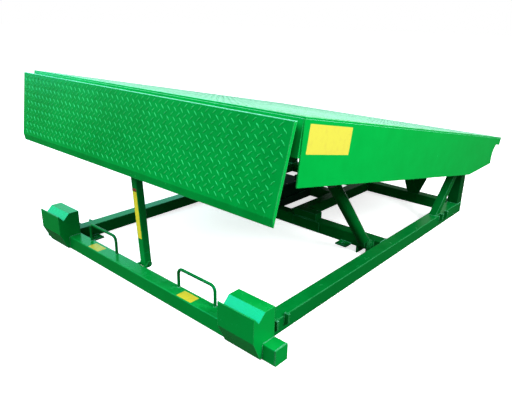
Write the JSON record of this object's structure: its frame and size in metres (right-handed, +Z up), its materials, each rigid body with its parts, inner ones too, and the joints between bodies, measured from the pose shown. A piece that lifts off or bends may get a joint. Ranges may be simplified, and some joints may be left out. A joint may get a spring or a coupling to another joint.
{
  "type": "dock leveler",
  "caption": "Hydraulic dock leveler: a hinged steel ramp with a swinging tread-plate lip and side skirts, raised on a welded tube frame with lip keepers, lift cylinders and a safety prop.",
  "frame": {"origin": "middle of the front beam's underside, on the floor", "axes": "+X to the right seen from the front, +Y from the lip to the rear hinge, +Z up"},
  "size_m": [2, 2.5047, 1.0424],
  "materials": {
    "green_paint": "gloss enamel",
    "bare_steel": "greased steel",
    "plated_rod": "hard chrome",
    "dark_paint": "satin dark green paint"
  },
  "bodies": {
    "frame": {"front_beam": "green_paint", "left_rail": "green_paint", "right_rail": "green_paint", "cross_beam": "green_paint", "rear_beam": "green_paint", "centre_rail": "green_paint", "tube_caps": "green_paint", "rear_posts": "green_paint", "rear_braces": "green_paint", "rear_header": "green_paint", "hinge_stands": "green_paint", "frame_lugs": "green_paint", "hinge_pins": "bare_steel", "left_keeper": "green_paint", "right_keeper": "green_paint", "left_handle": "green_paint", "right_handle": "green_paint", "prop_bracket": "green_paint", "prop_pin": "green_paint", "cylinder_feet": "green_paint", "foot_pins": "green_paint", "anchor_plates": "green_paint", "rail_lugs": "green_paint", "pump_tray": "dark_paint", "oil_tank": "dark_paint", "pump_motor": "dark_paint"},
    "deck": {"deck_plate": "green_paint", "deck_header": "green_paint", "deck_stringers": "green_paint", "deck_tail": "green_paint", "deck_lugs": "green_paint", "left_skirt": "green_paint", "right_skirt": "green_paint", "deck_knuckles": "green_paint", "lip_pin": "bare_steel", "cylinder_heads": "green_paint", "head_pins": "green_paint"},
    "lip": {"lip_plate": "green_paint", "lip_knuckles": "green_paint"},
    "prop": {"prop_strut": "green_paint"},
    "left_barrel": {"left_barrel": "green_paint"},
    "right_barrel": {"right_barrel": "green_paint"},
    "left_rod": {"left_rod": "plated_rod"},
    "right_rod": {"right_rod": "plated_rod"}
  },
  "joints": [
    {"name": "deck_lower", "type": "hinge", "parent": "frame", "child": "deck", "pos_m": [0, 2.33, 0.575], "axis": [1, 0, 0], "range_deg": [0, 10.6]},
    {"name": "lip_extend", "type": "hinge", "parent": "deck", "child": "lip", "pos_m": [0, -0.00662, 1.01127], "axis": [-1, 0, 0], "range_deg": [0, 90]},
    {"name": "prop_fold", "type": "hinge", "parent": "frame", "child": "prop", "pos_m": [-0.066, 0.076, 0.08], "axis": [-1, 0, 0], "range_deg": [0, 91.69]},
    {"name": "left_barrel_pivot", "type": "hinge", "parent": "frame", "child": "left_barrel", "pos_m": [-0.66, 1.18, 0.07], "axis": [1, 0, 0], "range_deg": [0, 16.38]},
    {"name": "left_rod_slide", "type": "slide", "parent": "left_barrel", "child": "left_rod", "axis": [0, 0.6486, -0.7612], "range_m": [0, 0.213]},
    {"name": "right_barrel_pivot", "type": "hinge", "parent": "frame", "child": "right_barrel", "pos_m": [0.66, 1.18, 0.07], "axis": [1, 0, 0], "range_deg": [0, 16.38]},
    {"name": "right_rod_slide", "type": "slide", "parent": "right_barrel", "child": "right_rod", "axis": [0, 0.6486, -0.7612], "range_m": [0, 0.213]}
  ],
  "couplings": [
    {"joint": "prop_fold", "follows": "deck_lower", "ratio": 8.65},
    {"joint": "left_barrel_pivot", "follows": "deck_lower", "ratio": 1.545},
    {"joint": "left_rod_slide", "follows": "deck_lower", "m_per_rad": 1.151},
    {"joint": "right_barrel_pivot", "follows": "deck_lower", "ratio": 1.545},
    {"joint": "right_rod_slide", "follows": "deck_lower", "m_per_rad": 1.151}
  ]
}
